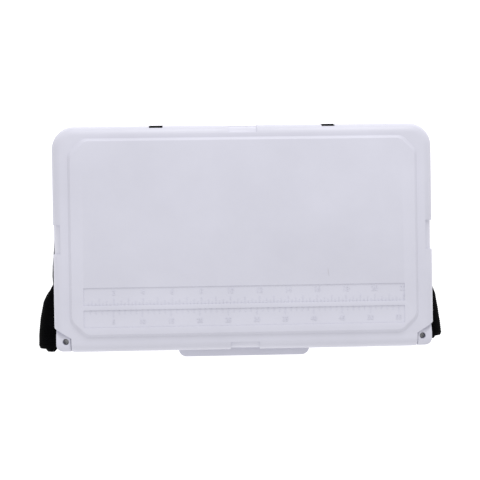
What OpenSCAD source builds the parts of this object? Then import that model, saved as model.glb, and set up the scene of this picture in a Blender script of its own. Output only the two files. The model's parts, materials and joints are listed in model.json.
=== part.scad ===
// Rotomoulded cooler chest: double-wall tub, hinged lid, rubber latches,
// drain and two webbing handles. X runs along the front, the front faces -Y,
// the chest stands on its feet at z = 0.

/* [Overall] */
// Width of the lid, left to right
lid_w = 670; // [560:5:800]
// Depth of the lid, front to back
lid_d = 396; // [340:2:460]
// Height of the tub rim above the floor
rim_h = 340; // [260:5:420]
// Thickness of the lid border above its underside
lid_t = 58; // [48:1:72]
// Radius of the lid corners in plan
lid_r = 40; // [30:1:50]
// Radius of the soft top shoulder of the lid
shoulder_r = 18; // [10:1:19]

/* [Lid top] */
// Length of the raised panel
panel_w = 609; // [500:1:620]
// Depth of the raised panel
panel_d = 343; // [290:1:350]
// How far the raised panel sits toward the front
panel_front = 2.3; // [0:0.1:4]
// Height of the raised panel above the border
panel_h = 5; // [3:0.5:8]
// Plan width of the sloped edge of the panel
panel_slope = 6; // [3:0.5:8]
// Leg of the panel's cut corners
panel_cut = 24; // [15:1:40]
// Length of the two ruler bands
ruler_w = 563; // [400:1:570]
// Depth in plan of one ruler band
ruler_band = 31; // [20:1:36]
// Width of the rib between the ruler bands
ruler_rib = 8; // [5:1:12]
// How deep the ruler bands are sunk
ruler_sink = 1.5; // [0.5:0.1:2.5]
// Distance from the panel's back edge to the back ruler band
ruler_inset = 14.5; // [6:0.5:20]
// Width of the tie-down channels in the lid edge
channel_w = 51; // [30:1:60]
// Reach of the tie-down channels in from the lid edge
channel_in = 14; // [8:1:18]
// Depth of the tie-down channels
channel_sink = 2.5; // [1:0.5:4]

/* [Tub] */
// Wall of the moulded plastic skins
skin = 6; // [4:0.5:8]
// Inset of the tub wall under the collar, from the lid edge
wall_in = 24; // [20:1:28]
// Extra inset of the tub wall at the floor
wall_draft = 10; // [4:1:14]
// Corner radius of the tub wall
wall_r = 60; // [45:1:70]
// Height of the collar round the rim
collar_h = 56; // [45:1:70]
// Inset of the collar from the lid edge, front and back
collar_in = 3; // [2:0.5:5]
// Inset of the collar from the lid edge, left and right
collar_side = 18; // [12:1:18]
// Distance from the lid edge to the cavity
cavity_in = 60; // [56:1:70]
// Extra inset of the cavity at its floor
cavity_draft = 10; // [4:1:14]
// Corner radius of the cavity at the rim
cavity_r = 42; // [32:1:50]
// Height of the cavity floor above the tub's underside
floor_t = 48; // [36:1:60]

/* [Hinge] */
// Radius of the lid's rounded hinge edge
hinge_r = 19; // [19:0.5:22]
// How far the top of the hinge ears stays under the lid border
ear_drop = 5; // [4:0.5:8]
// Width of one hinge ear
ear_w = 25; // [20:1:28]
// Inset of the hinge ears from the lid's side edge
ear_in = 4; // [3:0.5:6]
// Radius of the hinge pins
pin_r = 5; // [4:0.5:6]
// Length of one hinge pin
pin_len = 62; // [52:1:70]
// Radius of the hinge bushes outside
bush_r = 8; // [7:0.5:9]
// Radius of the recesses for the pin screws in the ears
ear_hole_r = 5.5; // [5:0.25:7]
// How far inboard of the ears' middle the pin screws are
ear_hole_in = 4; // [0:0.5:5]
// How far ahead of the hinge axis the lid's corner cut ends, inboard
cut_inner = 6; // [4:1:10]
// How far ahead of the hinge axis the lid's corner cut ends, outboard
cut_outer = 25; // [18:1:30]
// Width of the lid-stop ledge at the back
ledge_w = 236; // [160:2:300]
// How far the ledge stands out past the lid edge
ledge_out = 16.5; // [12:0.5:20]

/* [Latches] */
// Distance of each latch from the middle
latch_x = 152; // [110:1:200]
// Width of the latch stem
latch_w = 24; // [18:1:28]
// Width of the latch's T-head
head_w = 36; // [34:1:40]
// Radius of the latch's T-head
head_r = 6; // [5:0.5:7]
// Thickness of the latch stem
latch_t = 7; // [6:0.5:8]
// Depth of the latch slots in the front of the lid and tub
latch_slot = 13.5; // [12:0.5:15]
// Angle that the latch turns inward from upright to hook on
latch_hook = 8; // [5:0.5:9]
// Radius of the latch pivot pins
latch_pin_r = 2.5; // [2:0.25:3]
// Height of the latch pivots below the rim
latch_drop = 42; // [36:1:44]

/* [Handles] */
// Distance of each handle anchor from the middle
anchor_y = 62; // [50:1:66]
// Depth of the handle anchors below the rim
anchor_drop = 26; // [24:1:32]
// Radius of the handle anchor pins
anchor_pin_r = 3; // [2.5:0.25:3.5]
// Width of the handle webbing
web_w = 12; // [10:1:14]
// Thickness of the handle webbing
web_t = 3; // [2.5:0.25:4]
// Width of the padded grips
grip_w = 44; // [34:1:46]
// Thickness of the padded grips
grip_t = 25; // [18:1:26]
// Angle of the left handle below level
hang_left = 47; // [20:1:56]
// Angle of the right handle below level
hang_right = 42.5; // [20:0.5:56]
// Reach of the left handle's loop behind its anchors, against the right one's
reach_left = 0.91; // [0.85:0.01:1]
// How much straighter the left handle's loop lies than the right one's
straight_left = 6; // [0:1:8]

/* [Drain and feet] */
// Radius of the drain bore
drain_r = 9; // [7:0.5:10]
// Wall of the drain tube
drain_wall = 4; // [3:0.5:5]
// Radius of the drain flange
flange_r = 25; // [22:1:27]
// Height of the feet under the tub
foot_h = 7; // [5:0.5:10]
// Radius of the feet
foot_r = 23; // [18:1:26]
// Radius of the foam fill plugs
fill_r = 12; // [9:1:14]

/* [Clearances] */
// Gap under the lid
lid_gap = 2; // [1.5:0.5:3]
// Gap between pieces that move past each other
move_gap = 1.5; // [1:0.25:2]
// Gap round pieces that are seated in one another
seat_gap = 0.2; // [0.1:0.05:0.3]
// Radial clearance of turning shafts
run_gap = 0.05; // [0.02:0.01:0.1]

/* [Hidden] */
$fn = 64;

shell_color = [0.85, 0.84, 0.87];
rubber_color = [0.06, 0.06, 0.07];
steel_color = [0.7, 0.71, 0.73];

big = 400;
tub_z = foot_h;
lid_z = rim_h + lid_gap;
border_z = lid_z + lid_t;
panel_z = border_z + panel_h;
// hinge axis, tangent to the lid's underside and back face
hinge_y = lid_d / 2 - hinge_r;
hinge_z = lid_z + hinge_r;
ear_r = lid_t - hinge_r - ear_drop;
ear_x = lid_w / 2 - ear_in - ear_w / 2;
ear_in_x = ear_x - ear_w / 2;
ear_back = lid_d / 2 - 2;
ear_corner = 12;
// the rim steps down behind the gasket, so that the lid can fold past it
step_z = rim_h - 2.5;
step_y = hinge_y - 16;
collar_z = rim_h - collar_h;
wall_face = lid_d / 2 - collar_in;
side_face = lid_w / 2 - collar_side;
cavity_w = lid_w - 2 * cavity_in;
cavity_d = lid_d - 2 * cavity_in;
cavity_z = tub_z + floor_t;
// the lid's plug reaches into the cavity
plug_gap = 4;
plug_h = 14;
plug_w = cavity_w - 2 * plug_gap;
plug_d = cavity_d - 2 * plug_gap;
gasket_w = 8;
gasket_h = 5;
gasket_in = plug_gap + 4;
// latches
plate_t = 3;
knuckle_w = 6;
latch_eye_r = latch_t / 2 + 2.5;
latch_z = rim_h - latch_drop;
latch_seat = wall_face - latch_slot;
latch_y = -(latch_seat + plate_t + latch_eye_r + move_gap);
latch_front = latch_y - head_r;
// the latches in front and the ledge at the back reach equally far from the origin
centre_y = (lid_d / 2 + ledge_out + latch_front) / -2;
keeper_z = lid_z + 18;
head_z = keeper_z + head_r + 1.6;
keeper_back = -latch_y - (head_z - latch_z) * sin(latch_hook) - head_r - move_gap;
keeper_w = head_w + 4;
keeper_top = head_z + head_r + 4;
notch_in = 4.5;
cheek_x = latch_w / 2 + 0.5;
bracket_screw_x = cheek_x + knuckle_w + 6;
bracket_x = bracket_screw_x + 6;
bracket_z = 12;
screw_r = 2;
// drain
drain_z = cavity_z + drain_r + drain_wall + 4;
drain_out = drain_r + drain_wall;
drain_x = lid_w / 2 - wall_in - wall_draft - 8;
drain_in_x = cavity_w / 2 - cavity_draft + 2;
nut_r = 18;
nut_t = 8;
washer_t = 2;
flange_t = 5;
plug_seal_t = 2;
// handles
anchor_z = rim_h - anchor_drop;
eye_r = anchor_pin_r + 2.5;
anchor_x = side_face + plate_t + eye_r + 1;
eye_w = 22;
anchor_screw_z = 13;
clamp_u = [eye_r, eye_r + web_w];
clamp_y = 8;
clamp_n = 4;
foot_screw_r = 2.4;
foot_x = lid_w / 2 - wall_in - wall_draft - 56;
foot_y = lid_d / 2 - wall_in - wall_draft - 48;
foot_sink = 2;

// rounded rectangle in plan, from z0 to z1
module slab(w, d, r, z0, z1) {
    translate([0, 0, z0]) linear_extrude(z1 - z0) {
        square([w - 2 * r, d], center = true);
        square([w, d - 2 * r], center = true);
        for (x = [-1, 1], y = [-1, 1])
            translate([x * (w / 2 - r), y * (d / 2 - r)]) circle(r);
    }
}

// rounded block with a drafted or shaped side; side lists [inset, z] from the bottom up
module block(w, d, r, side) {
    z0 = side[0][1];
    z1 = side[len(side) - 1][1];
    outline = concat([[0, z0]], [for (p = side) [r - p[0], p[1]]], [[0, z1]]);
    translate([0, 0, (z0 + z1) / 2]) cube([w - 2 * r, d - 2 * r, z1 - z0], center = true);
    for (a = [0, 180]) {
        rotate(a) translate([w / 2 - r, 0, 0]) rotate([90, 0, 0])
            linear_extrude(d - 2 * r, center = true) polygon(outline);
        rotate(a + 90) translate([d / 2 - r, 0, 0]) rotate([90, 0, 0])
            linear_extrude(w - 2 * r, center = true) polygon(outline);
    }
    for (c = [[1, 1, 0], [-1, 1, 90], [-1, -1, 180], [1, -1, 270]])
        translate([c[0] * (w / 2 - r), c[1] * (d / 2 - r), 0]) rotate(c[2])
            rotate_extrude(angle = 90) polygon(outline);
}

// cylinder along X and along Y, centred
module rod_x(r, len) rotate([0, 90, 0]) cylinder(r = r, h = len, center = true);
module rod_y(r, len) rotate([90, 0, 0]) cylinder(r = r, h = len, center = true);
// box from its lowest to its highest corner
module span(a, b) translate(a) cube(b - a);
module both_x() for (s = [-1, 1]) scale_x(s) children();
module scale_x(s) if (s > 0) children(); else mirror([1, 0, 0]) children();

// ---- tub ----
module wall_block(inner, z0, z1) {
    slope = wall_draft / (collar_z - tub_z);
    block(lid_w, lid_d, wall_r, [
        [wall_in + inner + slope * (collar_z - z0), z0],
        [wall_in + inner, collar_z],
        [wall_in + inner, z1]]);
}
module cavity(grow, z0, z1) {
    slope = cavity_draft / (rim_h - cavity_z);
    block(cavity_w + 2 * grow, cavity_d + 2 * grow, cavity_r + grow, [
        [slope * (z1 - z0), z0],
        [0, z1]]);
}
module foot_bosses(extra) {
    for (x = [-1, 1], y = [-1, 1])
        translate([x * foot_x, y * foot_y, tub_z - 1]) cylinder(r = 12 + extra, h = 27);
}
module drain_boss(extra) {
    translate([drain_x - 20, 0, drain_z]) rod_x(flange_r + 8 + extra, 150);
}
module tub_hollow(gap) {
    difference() {
        wall_block(skin + gap, tub_z + skin + gap, collar_z + 20 - gap);
        cavity(skin + gap, cavity_z - skin - gap, rim_h);
        foot_bosses(gap);
        drain_boss(gap);
    }
    translate([0, 0, tub_z - 1]) cylinder(r = fill_r, h = skin + gap + 2);
}
module ear() {
    intersection() {
        union() {
            translate([ear_x, hinge_y, hinge_z]) rod_x(ear_r, ear_w);
            span([ear_in_x, hinge_y - ear_r, collar_z + 8], [ear_in_x + ear_w, ear_back, rim_h]);
            span([ear_in_x, hinge_y, rim_h - 1], [ear_in_x + ear_w, ear_back, hinge_z]);
        }
        slab(2 * (ear_in_x + ear_w), 2 * ear_back, ear_corner, 0, big + 100);
    }
}
module tub_shell() {
    color(shell_color) difference() {
        union() {
            wall_block(0, tub_z, rim_h - 4);
            block(lid_w - 2 * collar_side, lid_d - 2 * collar_in, lid_r - collar_in, [
                [wall_in - collar_in, collar_z - 14],
                [0, collar_z],
                [0, rim_h]]);
            both_x() ear();
            slab(ledge_w, 2 * (lid_d / 2 + ledge_out), 14, collar_z + 12, step_z);
        }
        span([-big, -lid_d, collar_z - 40], [big, -wall_face, big]);
        cavity(0, cavity_z, rim_h + 1);
        // step behind the gasket, between the ears
        span([-ear_in_x, step_y, step_z], [ear_in_x, lid_d, big]);
        both_x() ear_bores();
        tub_hollow(0);
        for (x = [-1, 1], y = [-1, 1]) translate([x * foot_x, y * foot_y, 0]) {
            cylinder(r = foot_r + seat_gap, h = tub_z + foot_sink);
            cylinder(r = foot_screw_r + 0.02, h = tub_z + 20);
        }
        translate([drain_x, 0, drain_z]) rod_x(drain_out + seat_gap, 200);
        drain_seat();
        latch_holes();
        anchor_holes();
    }
}
module ear_bores() {
    translate([ear_in_x, hinge_y, hinge_z]) rod_x(pin_r + 0.02, 2 * (ear_w - 5));
    translate([ear_x - ear_hole_in, hinge_y, hinge_z]) {
        cylinder(r = 2.5, h = big);
        translate([0, 0, ear_r - 14]) cylinder(r = ear_hole_r, h = big);
    }
}
module drain_seat() {
    translate([drain_x, 0, drain_z]) rotate([0, 90, 0]) cylinder(r = flange_r + 2, h = 60);
    // flat seat for the nut, and the sump under it
    translate([drain_in_x, 0, drain_z]) rotate([0, -90, 0]) cylinder(r = nut_r + 3, h = 26);
}
module latch_holes() {
    for (x = [-1, 1], dx = [-1, 1])
        translate([x * latch_x + dx * bracket_screw_x, -latch_seat, latch_z]) rod_y(screw_r, 26);
    // slots that the brackets and latches stand in
    for (x = [-1, 1]) translate([x * latch_x, 0, 0]) {
        span([-keeper_w / 2, -lid_d, latch_z], [keeper_w / 2, -latch_seat, rim_h + 1]);
        span([-bracket_x - 2, -lid_d, collar_z - 16],
            [bracket_x + 2, -latch_seat, latch_z + bracket_z + 2]);
    }
}
module anchor_holes() {
    for (x = [-1, 1], y = [-1, 1], z = [-1, 1])
        translate([x * side_face, y * anchor_y, anchor_z + z * anchor_screw_z]) rod_x(screw_r, 20);
}
module tub_foam() {
    color("khaki") difference() {
        tub_hollow(seat_gap);
        translate([0, 0, tub_z - 2]) cylinder(r = fill_r + 2, h = skin + seat_gap + 2.5);
    }
}
module tub_fill_plug() {
    color(rubber_color) translate([0, 0, tub_z + 0.5]) cylinder(r = fill_r - 0.02, h = skin - 0.8);
}

// ---- lid ----
module lid_side_cut() {
    // quarter round under the back edge, about the hinge axis
    difference() {
        span([-big, hinge_y, lid_z - 1], [big, lid_d, hinge_z]);
        translate([0, hinge_y, hinge_z]) rod_x(hinge_r, 2 * big + 2);
    }
}
// round notch in the lid about the hinge axis, and the slanted cut over it
module ear_notch() {
    inner = ear_in_x - move_gap;
    both_x() {
        translate([inner + big / 2, hinge_y, hinge_z]) rod_x(ear_r + move_gap, big);
        linear_extrude(big + 100) polygon([
            [inner, hinge_y - cut_inner], [lid_w / 2 + 1, hinge_y - cut_outer],
            [big, hinge_y], [big, lid_d], [inner, lid_d]]);
    }
}
// slab with sloped edges: a trapezoid prism along each of four directions
module sloped(w, d, cut, z0, z1, slope) {
    diagonal = (w + d) / 2 - cut;
    intersection() {
        prism(w, big * 2, z0, z1, slope);
        rotate(90) prism(d, big * 4, z0, z1, slope);
        rotate(45) prism(diagonal * sqrt(2), big * 4, z0, z1, slope);
        rotate(-45) prism(diagonal * sqrt(2), big * 4, z0, z1, slope);
    }
}
module prism(w, len, z0, z1, slope) {
    rotate([90, 0, 0]) linear_extrude(len, center = true) polygon([
        [-(w + slope) / 2, z0], [(w + slope) / 2, z0], [(w - slope) / 2, z1], [-(w - slope) / 2, z1]]);
}
module keeper_recess() {
    for (x = [-1, 1]) translate([x * latch_x, 0, 0]) {
        // shallow notch up the whole front, and the slot that the upright latch stands in
        span([-latch_w / 2, -lid_d, 0], [latch_w / 2, -lid_d / 2 + notch_in, big + 100]);
        span([-keeper_w / 2, -lid_d, 0], [keeper_w / 2, -lid_d / 2 + latch_slot, keeper_top]);
        // room for the hooked T-head over the two keeper shoulders, and for the stem between them
        span([-keeper_w / 2, -lid_d, keeper_z], [keeper_w / 2, -keeper_back, keeper_top]);
        span([-latch_w / 2 - 2, -lid_d, 0], [latch_w / 2 + 2, -keeper_back, keeper_top]);
    }
}
// channels over the shoulder, the same depth all the way down
module channels() {
    difference() {
        for (a = [0, 180]) rotate(a) {
            span([-channel_w / 2, lid_d / 2 - channel_in, hinge_z + 5], [channel_w / 2, lid_d, big + 100]);
            span([lid_w / 2 - channel_in, -channel_w / 2, hinge_z + 5], [lid_w, channel_w / 2, big + 100]);
        }
        lid_block(channel_sink);
    }
}
// the lid's plain outside, made smaller all round by inset
module lid_block(inset) {
    steps = 5;
    block(lid_w - 2 * inset, lid_d - 2 * inset, lid_r - inset,
        concat([[2, lid_z], [0, lid_z + 2], [0, border_z - inset - shoulder_r]],
            [for (i = [1:steps]) let (a = 90 * i / steps)
                [shoulder_r * (1 - cos(a)), border_z - inset - shoulder_r * (1 - sin(a))]]));
}
module ruler_bands() {
    back = -panel_front + panel_d / 2 - ruler_inset;
    for (i = [0, 1]) {
        y1 = back - i * (ruler_band + ruler_rib);
        span([-ruler_w / 2, y1 - ruler_band, panel_z - ruler_sink], [ruler_w / 2, y1, panel_z + 5]);
    }
}
module lid_hollow(gap) {
    slab(plug_w - 2 * (skin + gap), plug_d - 2 * (skin + gap), 30, lid_z - plug_h + skin + gap, lid_z + 9);
    slab(lid_w - 80 - 2 * gap, 2 * (hinge_y - ear_r - 10 - gap), 20, lid_z + 8 + gap, border_z - skin - gap);
}
module lid_shell() {
    color(shell_color) difference() {
        union() {
            lid_block(0);
            translate([0, -panel_front, 0])
                sloped(panel_w, panel_d, panel_cut, border_z - 1, panel_z, panel_slope);
            slab(plug_w, plug_d, cavity_r - plug_gap, lid_z - plug_h, lid_z + 1);
        }
        lid_side_cut();
        ear_notch();
        keeper_recess();
        channels();
        ruler_bands();
        difference() {
            slab(plug_w + 2 * (gasket_in + gasket_w), plug_d + 2 * (gasket_in + gasket_w),
                cavity_r + gasket_in + gasket_w - plug_gap, lid_z - 1, lid_z + gasket_h - lid_gap + 0.4);
            slab(plug_w + 2 * gasket_in, plug_d + 2 * gasket_in,
                cavity_r + gasket_in - plug_gap, lid_z - 2, lid_z + gasket_h);
        }
        both_x() translate([ear_in_x, hinge_y, hinge_z]) rod_x(bush_r + 0.02, 2 * (pin_len - ear_w + 8));
        lid_hollow(0);
        translate([0, 0, lid_z - plug_h - 1]) cylinder(r = fill_r, h = skin + 2);
    }
}
module lid_foam() {
    color("khaki") lid_hollow(seat_gap);
}
module lid_fill_plug() {
    color(rubber_color) translate([0, 0, lid_z - plug_h + 0.3]) cylinder(r = fill_r - 0.02, h = skin - 0.6);
}
module lid_gasket() {
    out = gasket_in + gasket_w - seat_gap;
    inner = gasket_in + seat_gap;
    top = rim_h + 0.4 + gasket_h - 0.2;
    color(rubber_color) difference() {
        slab(plug_w + 2 * out, plug_d + 2 * out, cavity_r + out - plug_gap, rim_h + 0.4, top);
        slab(plug_w + 2 * inner, plug_d + 2 * inner, cavity_r + inner - plug_gap, rim_h, top + 1);
    }
}

// ---- hinge ----
module hinge_pins() {
    color(steel_color) both_x()
        translate([ear_in_x + ear_w - 5.5 - pin_len / 2, hinge_y, hinge_z]) rod_x(pin_r, pin_len);
}
module hinge_bushes() {
    long = pin_len - ear_w + 5;
    color("goldenrod") both_x() difference() {
        translate([ear_in_x - move_gap - long / 2, hinge_y, hinge_z]) rod_x(bush_r, long);
        translate([ear_in_x, hinge_y, hinge_z]) rod_x(pin_r + run_gap, 3 * long);
    }
}
module hinge_screws() {
    head_z = hinge_z + ear_r - 14;
    color(steel_color) both_x() translate([ear_x - ear_hole_in, hinge_y, 0]) difference() {
        union() {
            translate([0, 0, head_z]) cylinder(r = ear_hole_r - 0.6, h = 3.5);
            translate([0, 0, hinge_z + pin_r]) cylinder(r = 2.4, h = head_z - hinge_z - pin_r + 1);
        }
        translate([0, 0, head_z + 1.5]) cylinder(r = 2.2, h = 5, $fn = 6);
    }
}

// ---- latches ----
module latch() {
    color(rubber_color) difference() {
        union() {
            translate([0, latch_y, latch_z]) rod_x(latch_eye_r, latch_w);
            span([-latch_w / 2, latch_y - latch_t / 2, latch_z],
                [latch_w / 2, latch_y + latch_t / 2, head_z]);
            translate([0, latch_y, head_z]) rod_x(head_r, head_w);
            // pull tab
            span([-latch_w / 2, latch_y - head_r, head_z - 14],
                [latch_w / 2, latch_y, head_z + 3]);
        }
        translate([0, latch_y, latch_z]) rod_x(latch_pin_r + run_gap, latch_w + 2);
    }
}
module latch_left() translate([-latch_x, 0, 0]) latch();
module latch_right() translate([latch_x, 0, 0]) latch();
module latch_bracket() {
    color(rubber_color) difference() {
        union() {
            span([-bracket_x, -latch_seat - plate_t, latch_z - bracket_z],
                [bracket_x, -latch_seat, latch_z + bracket_z]);
            for (x = [-1, 1]) translate([x * (cheek_x + knuckle_w / 2), 0, 0]) {
                translate([0, latch_y, latch_z]) rod_x(latch_eye_r, knuckle_w);
                span([-knuckle_w / 2, latch_y, latch_z - latch_eye_r],
                    [knuckle_w / 2, -latch_seat - 1, latch_z + latch_eye_r]);
            }
        }
        translate([0, latch_y, latch_z]) rod_x(latch_pin_r + 0.02, 2 * (cheek_x + knuckle_w) + 2);
        for (dx = [-1, 1]) translate([dx * bracket_screw_x, -latch_seat, latch_z]) rod_y(screw_r, 20);
    }
}
module latch_brackets() for (x = [-1, 1]) translate([x * latch_x, 0, 0]) latch_bracket();
module latch_pins() {
    color(steel_color) for (x = [-1, 1])
        translate([x * latch_x, latch_y, latch_z]) rod_x(latch_pin_r, 2 * (cheek_x + knuckle_w));
}
// pan-head screw along +X, its head's underside at x = 0
module pan_screw(head, r, len) {
    difference() {
        union() {
            translate([-len, 0, 0]) rotate([0, 90, 0]) cylinder(r = r, h = len + 0.5);
            rotate([0, 90, 0]) cylinder(r = head, h = 2.2);
        }
        translate([1, 0, 0]) rotate([0, 90, 0]) cylinder(r = head * 0.45, h = 3, $fn = 6);
    }
}
module latch_screws() {
    color(steel_color) for (x = [-1, 1], dx = [-1, 1])
        translate([x * latch_x + dx * bracket_screw_x, -latch_seat - plate_t, latch_z])
            rotate(-90) pan_screw(4, screw_r - 0.02, 12);
}

// ---- drain ----
module drain_fitting() {
    tube_in = drain_in_x - nut_t - 3;
    seat = drain_x + washer_t;
    color(rubber_color) translate([0, 0, drain_z]) rotate([0, 90, 0]) difference() {
        union() {
            translate([0, 0, tube_in]) cylinder(r = drain_out, h = seat - tube_in + 1);
            translate([0, 0, seat]) cylinder(r = flange_r, h = flange_t);
        }
        translate([0, 0, tube_in - 1]) cylinder(r = drain_r, h = 100);
    }
}
module drain_nut() {
    color(rubber_color) translate([drain_in_x - nut_t, 0, drain_z]) rotate([0, 90, 0]) difference() {
        cylinder(r = nut_r, h = nut_t, $fn = 6);
        translate([0, 0, -1]) cylinder(r = drain_out + seat_gap / 2, h = nut_t + 2);
    }
}
module drain_washer() {
    color("dimgray") translate([drain_x, 0, drain_z]) rotate([0, 90, 0]) difference() {
        cylinder(r = flange_r - 2, h = washer_t);
        translate([0, 0, -1]) cylinder(r = drain_out + seat_gap, h = washer_t + 2);
    }
}
module drain_plug() {
    face = drain_x + washer_t + flange_t;
    head = face + plug_seal_t + 0.4;
    shank = 30;
    color(rubber_color) translate([0, 0, drain_z]) {
        translate([head - shank, 0, 0]) rotate([0, 90, 0]) cylinder(r = drain_r - run_gap, h = shank + 1);
        translate([head, 0, 0]) rotate([0, 90, 0]) cylinder(r = drain_r + 8, h = 5);
        span([head + 4, -drain_r - 6, -4], [head + 15, drain_r + 6, 4]);
    }
}
module drain_plug_seal() {
    color("dimgray") translate([drain_x + washer_t + flange_t + seat_gap, 0, drain_z])
        rotate([0, 90, 0]) difference() {
            cylinder(r = drain_r + 6, h = plug_seal_t);
            translate([0, 0, -1]) cylinder(r = drain_r + seat_gap, h = plug_seal_t + 2);
        }
}

// ---- handles ----
// Both handles are drawn on the right, level, about the anchor axis: u outward, y back, n up.
web_u = (clamp_u[0] + clamp_u[1]) / 2;
web_end = anchor_y + clamp_y;
// the webbing's centre line: front anchor, over the rear one, through the grip, folded, and back
web_route = [
    [web_u, clamp_y - anchor_y, 0], [web_u, -25, 1], [web_u, 15, 4], [web_u, anchor_y - 14, 8],
    [web_u, anchor_y + 4, 9], [web_u + 1, 79, 7], [17, 92, 3], [24, 106, 0.5], [31, 126, 0],
    [38, 150, 0], [43, 172, 0], [45, 196, 0], [45, 202, -1.5], [44.5, 206, -5], [44, 206, -10],
    [43, 202, -14], [41, 194, -17], [35, 165, -19], [27, 125, -19], [18, 98, -14],
    [web_u + 1, 84, -6], [web_u, 76, -1.5], [web_u, web_end, 0]];
// the padded grip: [u, y, share of its width, share of its thickness]
grip_rings = [[17, 82, 0.36, 0.5], [20, 91, 0.54, 0.72], [26, 101, 0.72, 0.88], [32, 114, 0.88, 0.96],
    [39, 145, 1, 1], [44, 175, 0.98, 1], [46, 194, 0.94, 0.9], [46, 201, 0.84, 0.6]];
// the part of a loop behind its anchors, drawn in by reach and straightened
function drawn(p, reach, straight) = let (s = max(0, (p[1] - 80) / 125))
    [p[0] + straight * (s * s / 2 - 4 * s * (1 - s)), p[1] + (reach - 1) * 125 * s, p[2]];
function unit(v) = v / norm(v);
// both ends stand square on their clamps
function heading(route, i) = i == 0 ? [0, 1, 0] : i == len(route) - 1 ? [0, -1, 0] :
    unit(route[i + 1] - route[i - 1]);
// the webbing keeps its width along u, so a ring turns only in the y-n plane
function ring(route, i) = let (t = heading(route, i), up = unit([0, -t[2], t[1]]))
    [for (c = [[-1, -1], [1, -1], [1, 1], [-1, 1]])
        route[i] + [c[0] * web_w / 2, 0, 0] + c[1] * web_t / 2 * up];

module on_side(side, hang) {
    scale_x(side) translate([anchor_x, 0, anchor_z]) rotate([0, hang, 0]) children();
}
module handle_web(side, hang, reach, straight) {
    route = [for (p = web_route) drawn(p, reach, straight)];
    n = len(route);
    color(rubber_color) on_side(side, hang) polyhedron(
        points = [for (i = [0:n - 1]) each ring(route, i)],
        faces = concat([[3, 2, 1, 0]], [[for (j = [0:3]) 4 * (n - 1) + j]],
            [for (i = [0:n - 2], j = [0:3]) let (a = 4 * i, k = (j + 1) % 4)
                each [[a + j, a + k, a + 4 + k], [a + j, a + 4 + k, a + 4 + j]]]));
}
module handle_grip(side, hang, reach, straight) {
    color(rubber_color) on_side(side, hang) hull() for (g = grip_rings)
        translate(drawn([g[0], g[1], 0], reach, straight)) rotate([90, 0, 0])
            resize([grip_w * g[2], grip_t * g[3], 1]) cylinder(r = 1, h = 1, center = true, $fn = 32);
}
module handle_ends(side, hang) {
    color(rubber_color) on_side(side, hang) for (y = [-1, 1]) translate([0, y * anchor_y, 0])
        difference() {
            union() {
                rod_y(eye_r, eye_w);
                span([0, -clamp_y, -clamp_n], [clamp_u[1] + 1, clamp_y, clamp_n]);
            }
            rod_y(anchor_pin_r + run_gap, eye_w + 2);
        }
}
module handle_web_left() handle_web(-1, hang_left, reach_left, straight_left);
module handle_web_right() handle_web(1, hang_right, 1, 0);
module handle_grip_left() handle_grip(-1, hang_left, reach_left, straight_left);
module handle_grip_right() handle_grip(1, hang_right, 1, 0);
module handle_ends_left() handle_ends(-1, hang_left);
module handle_ends_right() handle_ends(1, hang_right);
module at_anchors() {
    for (y = [-1, 1]) both_x() translate([0, y * anchor_y, anchor_z]) children();
}
module handle_anchors() {
    cheek = eye_w / 2 + 0.5;
    color(rubber_color) at_anchors() difference() {
        union() {
            span([side_face, -cheek - 5, -20], [side_face + plate_t, cheek + 5, 20]);
            for (y = [-1, 1]) translate([0, y * (cheek + 2.5), 0]) {
                translate([anchor_x, 0, 0]) rod_y(eye_r, 5);
                span([side_face, -2.5, -eye_r], [anchor_x, 2.5, eye_r]);
            }
        }
        translate([anchor_x, 0, 0]) rod_y(anchor_pin_r + 0.02, 100);
        for (z = [-1, 1]) translate([side_face, 0, z * anchor_screw_z]) rod_x(screw_r, 30);
    }
}
module anchor_pins() {
    color(steel_color) at_anchors() translate([anchor_x, 0, 0]) rod_y(anchor_pin_r, eye_w + 11);
}
module anchor_screws() {
    color(steel_color) at_anchors() for (z = [-1, 1])
        translate([side_face + plate_t, 0, z * anchor_screw_z]) pan_screw(4, screw_r - 0.02, 12);
}

// ---- feet ----
module at_feet() for (x = [-1, 1], y = [-1, 1]) translate([x * foot_x, y * foot_y, 0]) children();
module feet() {
    color(rubber_color) at_feet() difference() {
        cylinder(r = foot_r, h = tub_z + foot_sink);
        translate([0, 0, -1]) cylinder(r = foot_screw_r + 0.02, h = 20);
        translate([0, 0, -1]) cylinder(r = 6.5, h = foot_h - 3 + 1);
    }
}
module foot_screws() {
    color(steel_color) at_feet() translate([0, 0, foot_h - 3]) rotate([0, 90, 0])
        pan_screw(5.5, foot_screw_r, 18);
}

module placed() translate([0, centre_y, 0]) children();
placed() tub_shell();
placed() tub_foam();
placed() tub_fill_plug();
placed() lid_shell();
placed() lid_foam();
placed() lid_fill_plug();
placed() lid_gasket();
placed() hinge_pins();
placed() hinge_bushes();
placed() hinge_screws();
placed() latch_left();
placed() latch_right();
placed() latch_brackets();
placed() latch_pins();
placed() latch_screws();
placed() drain_fitting();
placed() drain_nut();
placed() drain_washer();
placed() drain_plug();
placed() drain_plug_seal();
placed() handle_anchors();
placed() anchor_pins();
placed() anchor_screws();
placed() handle_ends_left();
placed() handle_web_left();
placed() handle_grip_left();
placed() handle_ends_right();
placed() handle_web_right();
placed() handle_grip_right();
placed() feet();
placed() foot_screws();
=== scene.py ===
import json
import math
import bpy
import bmesh
from mathutils import Matrix, Vector


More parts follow.
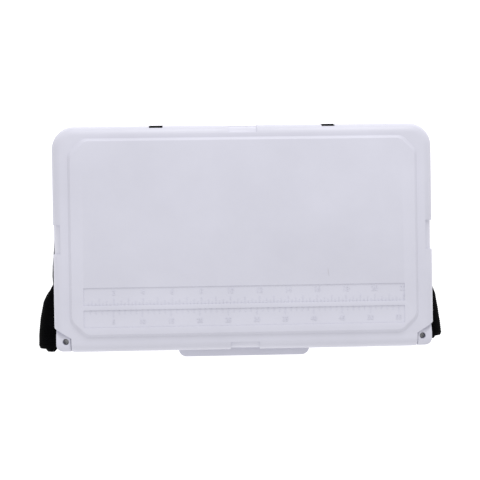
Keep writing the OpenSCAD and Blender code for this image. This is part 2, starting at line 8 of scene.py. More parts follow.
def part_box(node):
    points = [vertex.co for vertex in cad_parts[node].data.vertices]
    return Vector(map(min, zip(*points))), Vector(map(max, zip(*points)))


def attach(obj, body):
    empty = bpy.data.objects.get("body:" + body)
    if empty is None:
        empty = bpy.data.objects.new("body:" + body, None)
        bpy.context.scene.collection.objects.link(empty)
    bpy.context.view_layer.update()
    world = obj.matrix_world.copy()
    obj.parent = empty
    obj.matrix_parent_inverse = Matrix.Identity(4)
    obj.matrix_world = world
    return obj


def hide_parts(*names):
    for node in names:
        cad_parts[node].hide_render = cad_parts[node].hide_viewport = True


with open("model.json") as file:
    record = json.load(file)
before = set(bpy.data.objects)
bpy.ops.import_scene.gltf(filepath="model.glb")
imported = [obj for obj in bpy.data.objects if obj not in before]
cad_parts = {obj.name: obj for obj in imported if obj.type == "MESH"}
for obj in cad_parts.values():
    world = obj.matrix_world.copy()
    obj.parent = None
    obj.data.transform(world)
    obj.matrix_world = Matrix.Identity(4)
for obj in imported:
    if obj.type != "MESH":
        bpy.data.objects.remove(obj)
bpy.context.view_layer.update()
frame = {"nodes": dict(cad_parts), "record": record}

mm = 0.001
nodes = frame["nodes"]


# small helpers for picking, boxes, rods, cuts and soft edges
def clearSelection():
    if bpy.context.object and bpy.context.object.mode != "OBJECT":
        bpy.ops.object.mode_set(mode="OBJECT")
    bpy.ops.object.select_all(action="DESELECT")


def pickOnly(piece):
    clearSelection()
    piece.select_set(True)
    bpy.context.view_layer.objects.active = piece


def settle(piece):
    pickOnly(piece)
    bpy.ops.object.transform_apply(location=True, rotation=True, scale=True)


def addBox(name, low, high):
    clearSelection()
    low, high = Vector(low), Vector(high)
    bpy.ops.mesh.primitive_cube_add(size=1, location=(low + high) / 2)
    piece = bpy.context.object
    piece.name = piece.data.name = name
    piece.scale = high - low
    settle(piece)
    return piece


def addRod(name, radius, start, end, sides=48):
    clearSelection()
    start, end = Vector(start), Vector(end)
    run = end - start
    bpy.ops.mesh.primitive_cylinder_add(vertices=sides, radius=radius, depth=run.length,
        location=(start + end) / 2, rotation=run.to_track_quat("Z", "Y").to_euler())
    piece = bpy.context.object
    piece.name = piece.data.name = name
    settle(piece)
    return piece


# selects the edges that pass the test, in edit mode, and bevels them
def bevelEdges(piece, test, width, segments):
    pickOnly(piece)
    bpy.ops.object.mode_set(mode="EDIT")
    bpy.ops.mesh.select_mode(type="EDGE")
    bpy.ops.mesh.select_all(action="DESELECT")
    mesh = bmesh.from_edit_mesh(piece.data)
    for edge in mesh.edges:
        edge.select_set(bool(test(edge.verts[0].co, edge.verts[1].co)))
    bmesh.update_edit_mesh(piece.data)
    bpy.ops.mesh.bevel(offset=width, offset_type="OFFSET", segments=segments, affect="EDGES")
    bpy.ops.object.mode_set(mode="OBJECT")


def upright(a, b):
    return abs(a.z - b.z) > 0.001 and abs(a.x - b.x) < 0.0005 and abs(a.y - b.y) < 0.0005


def flatAt(z):
    return lambda a, b: abs(a.z - z) < 0.0002 and abs(b.z - z) < 0.0002


def addRounded(name, low, high, corner, segments=10):
    piece = addBox(name, low, high)
    bevelEdges(piece, upright, corner, segments)
    return piece


def combine(piece, tool, how):
    pickOnly(piece)
    step = piece.modifiers.new("combine", "BOOLEAN")
    step.operation = how
    step.solver = "EXACT"
    step.object = tool
    bpy.ops.object.modifier_apply(modifier=step.name)
    bpy.data.objects.remove(tool, do_unlink=True)


def cutBox(piece, low, high, corner=0):
    tool = addRounded("cutter", low, high, corner, 6) if corner else addBox("cutter", low, high)
    combine(piece, tool, "DIFFERENCE")


def tidyMesh(piece):
    pickOnly(piece)
    bpy.ops.object.mode_set(mode="EDIT")
    bpy.ops.mesh.select_all(action="SELECT")
    bpy.ops.mesh.remove_doubles(threshold=0.00002)
    bpy.ops.mesh.dissolve_limited(angle_limit=math.radians(0.4))
    bpy.ops.mesh.normals_make_consistent(inside=False)
    bpy.ops.object.mode_set(mode="OBJECT")


def soften(piece, width, segments=2, angle=32):
    pickOnly(piece)
    step = piece.modifiers.new("soft", "BEVEL")
    step.width = width
    step.segments = segments
    step.limit_method = "ANGLE"
    step.angle_limit = math.radians(angle)
    step.miter_outer = "MITER_ARC"
    bpy.ops.object.modifier_apply(modifier=step.name)
    bpy.ops.object.shade_smooth_by_angle(angle=math.radians(35))


def joinInto(piece, others):
    clearSelection()
    for other in others:
        other.select_set(True)
    piece.select_set(True)
    bpy.context.view_layer.objects.active = piece
    bpy.ops.object.join()
    return piece


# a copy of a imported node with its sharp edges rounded
def softCopy(node, width, segments=2, angle=32):
    piece = nodes[node].copy()
    piece.data = nodes[node].data.copy()
    piece.parent = None
    for key in list(piece.keys()):
        if key.startswith("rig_"):
            del piece[key]
    piece.name = piece.data.name = node + "_soft"
    bpy.context.scene.collection.objects.link(piece)
    piece.data.materials.clear()
    tidyMesh(piece)
    if width:
        soften(piece, width, segments, angle)
    else:
        pickOnly(piece)
        bpy.ops.object.shade_smooth_by_angle(angle=math.radians(35))
    return piece


bodyOf = {}
for body, members in frame["record"]["behaviour"]["bodies"].items():
    for member in members:
        bodyOf[member] = body
slotOf = {}
for part in frame["record"]["subparts"]:
    slotOf[part["node"]] = part["material_slot"]


def finishPiece(piece, material, node):
    piece.data.materials.clear()
    piece.data.materials.append(material)
    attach(piece, bodyOf[node])
    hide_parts(node)


# materials
def shaderLink(tree, output, entry):
    tree.links.new(output, entry)


# grain group: fine surface noise at two sizes, out as a height and a shade between 0 and 1
def makeGrainGroup():
    group = bpy.data.node_groups.new("surfaceGrain", "ShaderNodeTree")
    face = group.interface
    face.new_socket("Fine Scale", in_out="INPUT", socket_type="NodeSocketFloat")
    face.new_socket("Wide Scale", in_out="INPUT", socket_type="NodeSocketFloat")
    face.new_socket("Height", in_out="OUTPUT", socket_type="NodeSocketFloat")
    face.new_socket("Shade", in_out="OUTPUT", socket_type="NodeSocketFloat")
    ins = group.nodes.new("NodeGroupInput")
    outs = group.nodes.new("NodeGroupOutput")
    place = group.nodes.new("ShaderNodeTexCoord")
    fine = group.nodes.new("ShaderNodeTexNoise")
    fine.inputs["Detail"].default_value = 3
    wide = group.nodes.new("ShaderNodeTexNoise")
    wide.inputs["Detail"].default_value = 5
    wide.inputs["Roughness"].default_value = 0.6
    shaderLink(group, place.outputs["Object"], fine.inputs["Vector"])
    shaderLink(group, place.outputs["Object"], wide.inputs["Vector"])
    shaderLink(group, ins.outputs["Fine Scale"], fine.inputs["Scale"])
    shaderLink(group, ins.outputs["Wide Scale"], wide.inputs["Scale"])
    shaderLink(group, fine.outputs["Fac"], outs.inputs["Height"])
    shaderLink(group, wide.outputs["Fac"], outs.inputs["Shade"])
    return group


grainGroup = makeGrainGroup()


# a plain material: colour and roughness drift a little with the wide noise, bump from the fine one
def makeMaterial(name, look):
    material = bpy.data.materials.new(name)
    material.use_nodes = True
    tree = material.node_tree
    shader = tree.nodes["Principled BSDF"]
    shader.inputs["Metallic"].default_value = look.get("metal", 0)
    shader.inputs["Specular IOR Level"].default_value = look.get("shine", 0.5)
    grain = tree.nodes.new("ShaderNodeGroup")
    grain.node_tree = grainGroup
    grain.inputs["Fine Scale"].default_value = look["fine"]
    grain.inputs["Wide Scale"].default_value = look["wide"]
    blend = tree.nodes.new("ShaderNodeValToRGB")
    blend.color_ramp.elements[0].position = 0.3
    blend.color_ramp.elements[1].position = 0.7
    blend.color_ramp.elements[0].color = (*look["dark"], 1)
    blend.color_ramp.elements[1].color = (*look["light"], 1)
    rough = tree.nodes.new("ShaderNodeMapRange")
    rough.inputs["To Min"].default_value = look["rough"] - 0.05
    rough.inputs["To Max"].default_value = look["rough"] + 0.05
    bump = tree.nodes.new("ShaderNodeBump")
    bump.inputs["Strength"].default_value = look["bump"]
    bump.inputs["Distance"].default_value = look.get("deep", 0.0003)
    shaderLink(tree, grain.outputs["Shade"], blend.inputs["Fac"])
    shaderLink(tree, grain.outputs["Shade"], rough.inputs["Value"])
    shaderLink(tree, grain.outputs["Height"], bump.inputs["Height"])
    shaderLink(tree, blend.outputs["Color"], shader.inputs["Base Color"])
    shaderLink(tree, rough.outputs["Result"], shader.inputs["Roughness"])
    shaderLink(tree, bump.outputs["Normal"], shader.inputs["Normal"])
    return material


looks = {
    "shell": {"dark": (0.60, 0.598, 0.68), "light": (0.64, 0.638, 0.725), "rough": 0.42, "bump": 0.12,
        "fine": 900, "wide": 7, "shine": 0.4},
    "foam": {"dark": (0.60, 0.50, 0.28), "light": (0.78, 0.69, 0.44), "rough": 0.9, "bump": 0.6,
        "fine": 350, "wide": 60, "deep": 0.001},
    "trim": {"dark": (0.008, 0.008, 0.009), "light": (0.013, 0.013, 0.015), "rough": 0.5, "bump": 0.25,
        "fine": 1400, "wide": 30, "shine": 0.3},
    "seal": {"dark": (0.03, 0.03, 0.033), "light": (0.045, 0.045, 0.05), "rough": 0.75, "bump": 0.2,
        "fine": 1100, "wide": 40},
    "latch_rubber": {"dark": (0.008, 0.008, 0.01), "light": (0.014, 0.014, 0.016), "rough": 0.65,
        "bump": 0.2, "fine": 1300, "wide": 45, "shine": 0.12},
    "foot_rubber": {"dark": (0.015, 0.015, 0.016), "light": (0.03, 0.029, 0.028), "rough": 0.8,
        "bump": 0.3, "fine": 900, "wide": 50},
    "grip": {"dark": (0.001, 0.001, 0.0012), "light": (0.0025, 0.0025, 0.003), "rough": 0.75,
        "bump": 0.3, "fine": 1200, "wide": 35, "shine": 0.02},
    "steel": {"dark": (0.26, 0.26, 0.265), "light": (0.36, 0.36, 0.365), "rough": 0.36, "bump": 0.08,
        "fine": 1600, "wide": 90, "metal": 1},
    "bush": {"dark": (0.62, 0.55, 0.38), "light": (0.70, 0.63, 0.46), "rough": 0.45, "bump": 0.1,
        "fine": 1000, "wide": 30},
}
materials = {}
for name, look in looks.items():
    materials[name] = makeMaterial(name, look)


# woven webbing: two crossed sets of waves for both the colour and the bump
def makeWebbing():
    material = bpy.data.materials.new("webbing")
    material.use_nodes = True
    tree = material.node_tree
    shader = tree.nodes["Principled BSDF"]
    shader.inputs["Specular IOR Level"].default_value = 0.03
    shader.inputs["Roughness"].default_value = 0.8
    place = tree.nodes.new("ShaderNodeTexCoord")
    warp = tree.nodes.new("ShaderNodeTexWave")
    warp.bands_direction = "X"
    warp.inputs["Scale"].default_value = 320
    weft = tree.nodes.new("ShaderNodeTexWave")
    weft.bands_direction = "Y"
    weft.inputs["Scale"].default_value = 190
    cross = tree.nodes.new("ShaderNodeMath")
    cross.operation = "MULTIPLY"
    colour = tree.nodes.new("ShaderNodeValToRGB")
    colour.color_ramp.elements[0].color = (0.002, 0.002, 0.0025, 1)
    colour.color_ramp.elements[1].color = (0.005, 0.005, 0.006, 1)
    bump = tree.nodes.new("ShaderNodeBump")
    bump.inputs["Strength"].default_value = 0.6
    bump.inputs["Distance"].default_value = 0.0005
    for wave in (warp, weft):
        shaderLink(tree, place.outputs["Object"], wave.inputs["Vector"])
    shaderLink(tree, warp.outputs["Fac"], cross.inputs[0])
    shaderLink(tree, weft.outputs["Fac"], cross.inputs[1])
    shaderLink(tree, cross.outputs["Value"], colour.inputs["Fac"])
    shaderLink(tree, cross.outputs["Value"], bump.inputs["Height"])
    shaderLink(tree, colour.outputs["Color"], shader.inputs["Base Color"])
    shaderLink(tree, bump.outputs["Normal"], shader.inputs["Normal"])
    return material


materials["webbing"] = makeWebbing()


# a faint scuff on the left half of the lid, behind its middle, mixed over the shell's own colour
def addScuff(material, place, size):
    tree = material.node_tree
    shader = tree.nodes["Principled BSDF"]
    base = shader.inputs["Base Color"].links[0].from_socket
    coords = tree.nodes.new("ShaderNodeTexCoord")
    shift = tree.nodes.new("ShaderNodeMapping")
    shift.vector_type = "TEXTURE"
    shift.inputs["Location"].default_value = place
    shift.inputs["Rotation"].default_value = (0, 0, math.radians(8))
    shift.inputs["Scale"].default_value = size
    noise = tree.nodes.new("ShaderNodeTexNoise")
    noise.inputs["Scale"].default_value = 2.5
    reach = tree.nodes.new("ShaderNodeVectorMath")
    reach.operation = "LENGTH"
    wobble = tree.nodes.new("ShaderNodeMath")
    wobble.operation = "ADD"
    edge = tree.nodes.new("ShaderNodeMapRange")
    edge.inputs["From Min"].default_value = 1.6
    edge.inputs["From Max"].default_value = 1.1
    edge.inputs["To Max"].default_value = 0.35
    mix = tree.nodes.new("ShaderNodeMix")
    mix.data_type = "RGBA"
    mix.inputs["B"].default_value = (0.42, 0.41, 0.44, 1)
    shaderLink(tree, coords.outputs["Object"], shift.inputs["Vector"])
    shaderLink(tree, shift.outputs["Vector"], noise.inputs["Vector"])
    shaderLink(tree, shift.outputs["Vector"], reach.inputs[0])
    shaderLink(tree, reach.outputs["Value"], wobble.inputs[0])
    shaderLink(tree, noise.outputs["Fac"], wobble.inputs[1])
    shaderLink(tree, wobble.outputs["Value"], edge.inputs["Value"])
    shaderLink(tree, edge.outputs["Result"], mix.inputs["Factor"])
    shaderLink(tree, base, mix.inputs["A"])
    shaderLink(tree, mix.outputs["Result"], shader.inputs["Base Color"])


scuff = {"place": (-147 * mm, 55 * mm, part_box("lid_shell")[1].z), "size": (1.2 * mm, 8 * mm, 10 * mm)}
addScuff(materials["shell"], scuff["place"], scuff["size"])
for node, piece in nodes.items():
    piece.data.materials.clear()
    piece.data.materials.append(materials[slotOf[node]])
print("materials done")


# lid: outer body, raised panel, plug below, and the cuts for ears, latches, straps and ruler
lid = {
    "corner": 40 * mm, "shoulder": 18 * mm, "underEdge": 2 * mm, "grooveDepth": 3.2 * mm,
    "hingeRadius": 19 * mm, "panel": (609 * mm, 343 * mm), "panelRise": 5 * mm, "panelCut": 25.5 * mm,
    "panelRound": 7 * mm, "panelSlope": 6 * mm, "panelForward": 2.3 * mm,
    "plug": (542 * mm, 268 * mm, 38 * mm), "groove": (8 * mm, 16 * mm), "edgeSoft": 1.1 * mm,
    # two sunk ruler bands with a rib between them
    "band": (563 * mm, 31 * mm), "rib": 8 * mm, "bandSink": 1.5 * mm, "bandInset": 14.5 * mm,
    "bandRound": 1.5 * mm,
    # width, reach over the top and depth of a strap channel
    "channel": (51 * mm, 14 * mm, 2.5 * mm),
    # latch slots: half widths, and how far in from the front edge they go
    "notchHalf": 12 * mm, "notchIn": 4.5 * mm, "slotHalf": 20 * mm, "slotIn": 13.5 * mm,
    "stemHalf": 14 * mm, "hookIn": 23.2 * mm, "hookRise": 18 * mm, "headRoom": 4 * mm,
    # corner cuts over the hinge ears
    "earRadius": 34 * mm, "earGap": 1.5 * mm, "earInner": 304.5 * mm, "earPast": 1 * mm,
    "cutInner": 6 * mm, "cutOuter": 19 * mm, "boreDeep": 24 * mm, "boreGap": 0.02 * mm,
}
# how far joined pieces reach into each other, and how far cutters pass the lid
bite, past, below, above = 1 * mm, 20 * mm, 300 * mm, 500 * mm
wide = 500 * mm
lidLow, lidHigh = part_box("lid_shell")
middleY = (lidLow.y + lidHigh.y) / 2
halfW, halfD = lidHigh.x, (lidHigh.y - lidLow.y) / 2
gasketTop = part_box("lid_gasket")[1].z
lidUnder = gasketTop - lid["grooveDepth"]
borderTop = lidHigh.z - lid["panelRise"]
pinLow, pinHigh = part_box("hinge_pins")
hingeY, hingeZ = (pinLow.y + pinHigh.y) / 2, (pinLow.z + pinHigh.z) / 2
latchLow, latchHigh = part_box("latch_right")
latchX = (latchLow.x + latchHigh.x) / 2


def atMiddle(x, y, z):
    return (x, y + middleY, z)


def buildLid():
    shell = addBox("lid_top", atMiddle(-halfW, -halfD, lidUnder), atMiddle(halfW, halfD, borderTop))
    bevelEdges(shell, upright, lid["corner"], 14)
    bevelEdges(shell, flatAt(borderTop), lid["shoulder"], 9)
    bevelEdges(shell, flatAt(lidUnder), lid["underEdge"], 2)
    # raised panel with cut corners and sloped sides
    panelW, panelD = lid["panel"]
    slope, forward = lid["panelSlope"], lid["panelForward"]
    wideW, wideD = panelW + slope, panelD + slope
    panel = addBox("panel", atMiddle(-wideW / 2, -wideD / 2 - forward, borderTop - bite),
        atMiddle(wideW / 2, wideD / 2 - forward, lidHigh.z))
    bevelEdges(panel, upright, lid["panelCut"], 1)
    bevelEdges(panel, upright, lid["panelRound"], 4)
    pickOnly(panel)
    bpy.ops.object.mode_set(mode="EDIT")
    bpy.ops.mesh.select_mode(type="FACE")
    bpy.ops.mesh.select_all(action="DESELECT")
    mesh = bmesh.from_edit_mesh(panel.data)
    for face in mesh.faces:
        face.select_set(face.normal.z > 0.9)
    bmesh.update_edit_mesh(panel.data)
    bpy.ops.transform.resize(value=((panelW - slope) / wideW, (panelD - slope) / wideD, 1),
        center_override=(0, middleY - forward, lidHigh.z))
    bpy.ops.object.mode_set(mode="OBJECT")
    combine(shell, panel, "UNION")
    # plug that reaches into the cavity, and the gasket's groove around it
    plugW, plugD, plugR = lid["plug"]
    plug = addRounded("plug", atMiddle(-plugW / 2, -plugD / 2, lidLow.z),
        atMiddle(plugW / 2, plugD / 2, lidUnder + 5 * bite), plugR, 8)
    combine(shell, plug, "UNION")
    inner, outer = lid["groove"]
    gap = 0.2 * mm
    groove = addRounded("groove", atMiddle(-plugW / 2 - outer, -plugD / 2 - outer, lidUnder - 2 * bite),
        atMiddle(plugW / 2 + outer, plugD / 2 + outer, gasketTop + gap), plugR + outer, 8)
    core = addRounded("core", atMiddle(-plugW / 2 - inner, -plugD / 2 - inner, lidUnder - 3 * bite),
        atMiddle(plugW / 2 + inner, plugD / 2 + inner, lidUnder + 9 * bite), plugR + inner, 8)
    combine(groove, core, "DIFFERENCE")
    combine(shell, groove, "DIFFERENCE")
    # quarter round under the back edge, about the hinge axis
    under = addBox("under", (past - wide, hingeY, lidUnder - 2 * bite),
        (wide - past, hingeY + 3 * past, hingeZ))
    barrel = addRod("round", lid["hingeRadius"], (-wide, hingeY, hingeZ), (wide, hingeY, hingeZ), 96)
    combine(under, barrel, "DIFFERENCE")
    combine(shell, under, "DIFFERENCE")
    return shell


lidPiece = buildLid()
print("lid body done")


# corner cut over each hinge ear, and the round notch about the hinge axis
def cutEarNotch(shell, side):
    inner, outer = lid["earInner"], halfW + lid["earPast"]
    notch = addRod("notch", lid["earRadius"] + lid["earGap"], (side * inner, hingeY, hingeZ),
        (side * wide, hingeY, hingeZ), 96)
    combine(shell, notch, "DIFFERENCE")
    lowX, highX = sorted((side * inner, side * wide))
    tool = addBox("corner", (lowX, hingeY - lid["cutInner"], below), (highX, hingeY + 5 * past, above))
    for vert in tool.data.vertices:
        if vert.co.y < hingeY and abs(vert.co.x) > outer:
            slant = (abs(vert.co.x) - inner) / (outer - inner)
            vert.co.y = hingeY - lid["cutInner"] - slant * lid["cutOuter"]
    combine(shell, tool, "DIFFERENCE")
    # bore for the bush
    bushLow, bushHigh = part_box("hinge_bushes")
    radius = (bushHigh.z - bushLow.z) / 2 + lid["boreGap"]
    bore = addRod("bore", radius, (side * (inner - lid["boreDeep"]), hingeY, hingeZ),
        (side * (inner + bite), hingeY, hingeZ))
    combine(shell, bore, "DIFFERENCE")


# notch for the head, slot for the keeper, pocket for the hook and way through for the stem
def cutLatchSlot(shell, x):
    front, top = middleY - halfD, latchHigh.z + lid["headRoom"]
    cuts = (
        (lid["notchHalf"], lid["notchIn"], below, above),
        (lid["slotHalf"], lid["slotIn"], below, top),
        (lid["slotHalf"], lid["hookIn"], lidUnder + lid["hookRise"], top),
        (lid["stemHalf"], lid["hookIn"], below, top),
    )
    for half, deep, low, high in cuts:
        cutBox(shell, (x - half, front - past, low), (x + half, front + deep, high))


def outerBody(name, inset):
    body = addBox(name, atMiddle(-halfW + inset, -halfD + inset, lidUnder - 5 * bite),
        atMiddle(halfW - inset, halfD - inset, borderTop - inset))
    bevelEdges(body, upright, lid["corner"] - inset, 14)
    bevelEdges(body, flatAt(borderTop - inset), lid["shoulder"], 9)
    return body


# strap channels over the shoulder: the same depth all the way down
def cutChannels(shell):
    width, reach, sink = lid["channel"]
    for side in (-1, 1):
        edgeY, edgeX = side * halfD, side * halfW
        lowY, highY = sorted((edgeY - side * reach, edgeY + side * past))
        lowX, highX = sorted((edgeX - side * reach, edgeX + side * past))
        spans = (((-width / 2, lowY), (width / 2, highY)), ((lowX, -width / 2), (highX, width / 2)))
        for low, high in spans:
            tool = addBox("channel", atMiddle(*low, hingeZ + 5 * bite), atMiddle(*high, above))
            combine(tool, outerBody("channelFloor", sink), "DIFFERENCE")
            combine(shell, tool, "DIFFERENCE")


bandW, bandD = lid["band"]
bandBack = middleY - lid["panelForward"] + lid["panel"][1] / 2 - lid["bandInset"]
bandFloor = lidHigh.z - lid["bandSink"]
bandFronts = [bandBack - bandD, bandBack - 2 * bandD - lid["rib"]]
for side in (-1, 1):
    cutEarNotch(lidPiece, side)
    cutLatchSlot(lidPiece, side * latchX)
cutChannels(lidPiece)
for front in bandFronts:
    cutBox(lidPiece, (-bandW / 2, front, bandFloor), (bandW / 2, front + bandD, above), lid["bandRound"])
tidyMesh(lidPiece)
soften(lidPiece, lid["edgeSoft"], 3)


# raised ruler marks: the zero is at the left for someone who reads them from behind the lid
marking = {
    "inch": 25.4 * mm, "width": 0.9 * mm, "sunk": 0.3 * mm, "rise": 0.7 * mm, "clear": 0.8 * mm,
    "long": 11 * mm, "half": 7 * mm, "quarter": 4 * mm, "short": 6 * mm, "start": 2 * mm,
    # numerals: how deep they sit, their height and their bevel
    "textSunk": 0.2 * mm, "textRise": 0.75 * mm, "textEdge": 0.12 * mm,
    # size of the numerals and their distance from the front of their band
    "inchText": (12 * mm, 9 * mm), "cmText": (11 * mm, 21 * mm), "inches": 22, "centimetres": 55,
}


def addMark(name, x, yStart, length):
    low, high = sorted((yStart, yStart + length))
    return addBox(name, (x - marking["width"] / 2, low, bandFloor - marking["sunk"]),
        (x + marking["width"] / 2, high, bandFloor + marking["rise"]))


def addNumeral(text, x, y, size):
    clearSelection()
    bpy.ops.object.text_add(location=(x, y, bandFloor - marking["textSunk"]), rotation=(0, 0, math.pi))
    label = bpy.context.object
    label.data.body = text
    label.data.align_x = "CENTER"
    label.data.align_y = "CENTER"
    label.data.size = size
    label.data.extrude = marking["textRise"]
    label.data.bevel_depth = marking["textEdge"]
    bpy.ops.object.convert(target="MESH")
    settle(bpy.context.object)
    return bpy.context.object


def buildRuler():
    marks = []
    zero = bandW / 2 - marking["start"]
    inchRib, cmRib = bandFronts[1] + bandD - marking["clear"], bandFronts[0] + marking["clear"]
    for step in range(1, marking["inches"] * 4 + 1):
        kind = "long" if step % 4 == 0 else "half" if step % 2 == 0 else "quarter"
        marks.append(addMark("inchMark", zero - step * marking["inch"] / 4, inchRib, -marking[kind]))
    size, up = marking["inchText"]
    for step in range(2, marking["inches"] + 1, 2):
        marks.append(addNumeral(str(step), zero - step * marking["inch"], bandFronts[1] + up, size))
    for step in range(1, marking["centimetres"] + 1):
        length = marking["long"] if step % 5 == 0 else marking["short"]
        marks.append(addMark("cmMark", zero - step * 10 * mm, cmRib, length))
    size, up = marking["cmText"]
    for step in range(5, marking["centimetres"] + 1, 5):
        marks.append(addNumeral(str(step), zero - step * 10 * mm, bandFronts[0] + up, size))
    return joinInto(marks[0], marks[1:])


ruler = buildRuler()
ruler.name = ruler.data.name = "lid_ruler_marks"
ruler.data.materials.clear()
ruler.data.materials.append(materials["shell"])
pickOnly(ruler)
bpy.ops.object.shade_smooth_by_angle(angle=math.radians(30))
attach(ruler, "lid")
finishPiece(lidPiece, materials["shell"], "lid_shell")
print("lid done")


# latches: ribs to pull them by, and a lip along the front of the head
latch = {
    "stemHalf": 3.5 * mm, "headRadius": 6 * mm, "ribs": 4, "ribHalf": 8.5 * mm, "ribStart": 28 * mm,
    "pitch": 6.5 * mm, "ribHeight": 2.6 * mm, "ribProud": 1 * mm, "ribSunk": 0.8 * mm, "soft": 0.45 * mm,
    "lipHalf": 12.5 * mm, "lipProud": 1.8 * mm, "lipSunk": 2 * mm, "lipLow": 9 * mm, "lipHigh": 4 * mm,
}


def buildLatchRibs():
    centre = (latchLow.y + latchHigh.y) / 2
    stemFront, headFront = centre - latch["stemHalf"], centre - latch["headRadius"]
    ribs = []
    for step in range(latch["ribs"]):
        z = latchLow.z + latch["ribStart"] + step * latch["pitch"]
        ribs.append(addBox("rib", (latchX - latch["ribHalf"], stemFront - latch["ribProud"], z),
            (latchX + latch["ribHalf"], stemFront + latch["ribSunk"], z + latch["ribHeight"])))
    ribs.append(addBox("lip",
        (latchX - latch["lipHalf"], headFront - latch["lipProud"], latchHigh.z - latch["lipLow"]),
        (latchX + latch["lipHalf"], headFront + latch["lipSunk"], latchHigh.z - latch["lipHigh"])))
    ribs = joinInto(ribs[0], ribs[1:])
    soften(ribs, latch["soft"], 2)
    ribs.data.materials.append(materials["latch_rubber"])
    return ribs


ribsRight = buildLatchRibs()
ribsLeft = ribsRight.copy()
ribsLeft.data = ribsRight.data.copy()
bpy.context.scene.collection.objects.link(ribsLeft)
ribsLeft.location.x = -2 * latchX
settle(ribsLeft)
for ribs, name in ((ribsRight, "right"), (ribsLeft, "left")):
    ribs.name = ribs.data.name = "latch_ribs_" + name
    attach(ribs, "latch_" + name)
print("latches done")


# handles: a ribbed grip on each strap
grip = {
    "pinRadius": 3 * mm, "bendStart": 80, "bendRun": 125, "edgeSoft": 0.8 * mm, "strapSoft": 0.5 * mm,
    "halfWidth": 22 * mm, "halfThick": 12.5 * mm, "rib": 0.9 * mm, "pitch": 1.9 * mm,
    # outward place, distance behind the anchors' middle, share of the width, share of the thickness
    "rings": ((17, 82, 0.36, 0.5), (20, 91, 0.54, 0.72), (26, 101, 0.72, 0.88), (32, 114, 0.88, 0.96),
        (39, 145, 1, 1), (44, 175, 0.98, 1), (46, 194, 0.94, 0.9), (46, 201, 0.84, 0.6)),
    # side, name, degrees below level, share of the length, how far the arms are straightened
    "sides": ((-1, "left", 47, 0.91, 6), (1, "right", 42.5, 1, 0)),
}
anchorLow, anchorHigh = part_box("anchor_pins")
anchorX, anchorZ = anchorHigh.x - grip["pinRadius"], (anchorLow.z + anchorHigh.z) / 2


def gripAt(y):
    rings = grip["rings"]
    for first, second in zip(rings, rings[1:]):
        if y <= second[1]:
            part = (y - first[1]) / (second[1] - first[1])
            return [first[i] + part * (second[i] - first[i]) for i in (0, 2, 3)]
    return [rings[-1][i] for i in (0, 2, 3)]


# padded grip: an ellipse extruded ring by ring, each second ring a little smaller for the ribs
def buildGrip(side, hang, reach, straight):
    start, end = grip["rings"][0][1], grip["rings"][-1][1]
    count = int((end - start) * mm * reach / grip["pitch"])
    clearSelection()
    bpy.ops.mesh.primitive_circle_add(vertices=40, radius=1, fill_type="NGON", rotation=(math.pi / 2, 0, 0))
    piece = bpy.context.object
    before = None
    for step in range(count + 1):
        y = start + (end - start) * step / count
        u, wide, thick = gripAt(y)
        dip = grip["rib"] if step % 2 and 3 < step < count - 3 else 0
        size = (grip["halfWidth"] * wide - dip, grip["halfThick"] * thick - dip)
        along = (y - grip["bendStart"]) / grip["bendRun"]
        u += straight * (along ** 2 / 2 - 4 * along * (1 - along))
        place = Vector((side * u * mm, (y + (reach - 1) * grip["bendRun"] * along) * mm, 0))
        if before is None:
            piece.scale = (size[0], size[1], 1)
            piece.location = place
            settle(piece)
            bpy.ops.object.mode_set(mode="EDIT")
            bpy.ops.mesh.select_all(action="SELECT")
        else:
            bpy.ops.mesh.extrude_region_move(TRANSFORM_OT_translate={"value": place - before[0]})
            bpy.ops.transform.resize(value=(size[0] / before[1][0], 1, size[1] / before[1][1]),
                center_override=place)
        before = (place, size)
    bpy.ops.mesh.select_all(action="SELECT")
    bpy.ops.mesh.normals_make_consistent(inside=False)
    bpy.ops.object.mode_set(mode="OBJECT")
    piece.rotation_euler = (0, side * math.radians(hang), 0)
    piece.location = (side * anchorX, middleY, anchorZ)
    settle(piece)
    soften(piece, grip["edgeSoft"], 3, 55)
    bpy.ops.object.shade_smooth_by_angle(angle=math.radians(60))
    return piece


# webbing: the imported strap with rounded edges, made smooth along its bends
def buildStrap(node):
    piece = softCopy(node, 0)
    pickOnly(piece)
    bpy.ops.object.mode_set(mode="EDIT")
    bpy.ops.mesh.select_all(action="SELECT")
    bpy.ops.mesh.tris_convert_to_quads(face_threshold=math.radians(60), shape_threshold=math.radians(60))
    bpy.ops.object.mode_set(mode="OBJECT")
    soften(piece, grip["strapSoft"], 2, 60)
    return piece


for side, name, hang, reach, straight in grip["sides"]:
    pad = buildGrip(side, hang, reach, straight)
    pad.name = pad.data.name = "grip_" + name
    finishPiece(pad, materials["grip"], "handle_grip_" + name)
    finishPiece(buildStrap("handle_web_" + name), materials["webbing"], "handle_web_" + name)
print("handles done")


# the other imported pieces, each with its sharp edges rounded by this much
softened = {
    "tub_shell": 1.2 * mm, "latch_left": 0.9 * mm, "latch_right": 0.9 * mm, "latch_brackets": 0.6 * mm,
    "drain_fitting": 0.8 * mm, "drain_nut": 0.5 * mm, "drain_plug": 0.8 * mm, "handle_anchors": 0.6 * mm,
    "handle_ends_left": 0.8 * mm, "handle_ends_right": 0.8 * mm, "feet": 0.8 * mm, "lid_gasket": 0.8 * mm,
    "hinge_screws": 0.3 * mm, "latch_screws": 0.3 * mm, "anchor_screws": 0.3 * mm, "foot_screws": 0.3 * mm,
}
for node, width in softened.items():
    finishPiece(softCopy(node, width), materials[slotOf[node]], node)
print("hardware done")


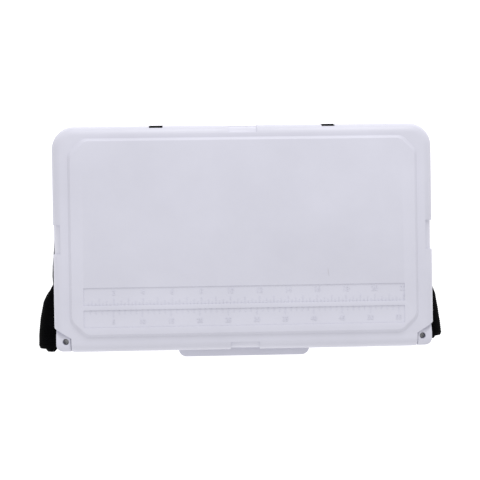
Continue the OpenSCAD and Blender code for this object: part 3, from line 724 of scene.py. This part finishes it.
# white floor that glows a little, white surroundings, two soft lights and the camera
setting = {"floorSize": 12, "white": (1, 1, 1, 1), "paper": (0.9, 0.9, 0.9, 1), "glow": 0.4, "sky": 0.77}
clearSelection()
bpy.ops.mesh.primitive_plane_add(size=setting["floorSize"], location=(0, 0, 0))
floor = bpy.context.object
floor.name = floor.data.name = "floor"
paper = bpy.data.materials.new("paper")
paper.use_nodes = True
sheet = paper.node_tree.nodes["Principled BSDF"].inputs
sheet["Base Color"].default_value = setting["paper"]
sheet["Roughness"].default_value = 0.9
sheet["Emission Color"].default_value = setting["white"]
sheet["Emission Strength"].default_value = setting["glow"]
floor.data.materials.append(paper)

bpy.context.scene.view_settings.view_transform = "Standard"
world = bpy.data.worlds.new("world")
bpy.context.scene.world = world
world.use_nodes = True
sky = world.node_tree.nodes["Background"].inputs
sky["Color"].default_value = setting["white"]
sky["Strength"].default_value = setting["sky"]


def addLight(name, place, target, size, power):
    clearSelection()
    bpy.ops.object.light_add(type="AREA", location=place)
    light = bpy.context.object
    light.name = light.data.name = name
    light.data.size = size
    light.data.energy = power
    light.rotation_euler = (Vector(target) - Vector(place)).to_track_quat("-Z", "Y").to_euler()
    return light


addLight("key", (-0.3, -2.4, 1.7), (0, 0, 0.35), 1.2, 33)
addLight("fill", (0.6, 1.9, 2.2), (0, 0, 0.3), 1.8, 11)

# camera above the lid, with the top of its frame toward the front of the chest
shot = {
    "target": Vector((7.2 * mm, 5 * mm + middleY, 400 * mm)), "away": 2, "lens": 85.55, "sensor": 36,
    "turns": ((-0.87, "Z"), (0.55, "X"), (2.37, "Y"), (180, "Z")),
}
turn = Matrix.Identity(4)
for degrees, axis in shot["turns"]:
    turn = turn @ Matrix.Rotation(math.radians(degrees), 4, axis)
clearSelection()
bpy.ops.object.camera_add(location=shot["target"] + turn @ Vector((0, 0, shot["away"])))
camera = bpy.context.object
camera.rotation_euler = turn.to_euler()
camera.data.lens = shot["lens"]
camera.data.sensor_width = shot["sensor"]
bpy.context.scene.camera = camera
print("camera done")
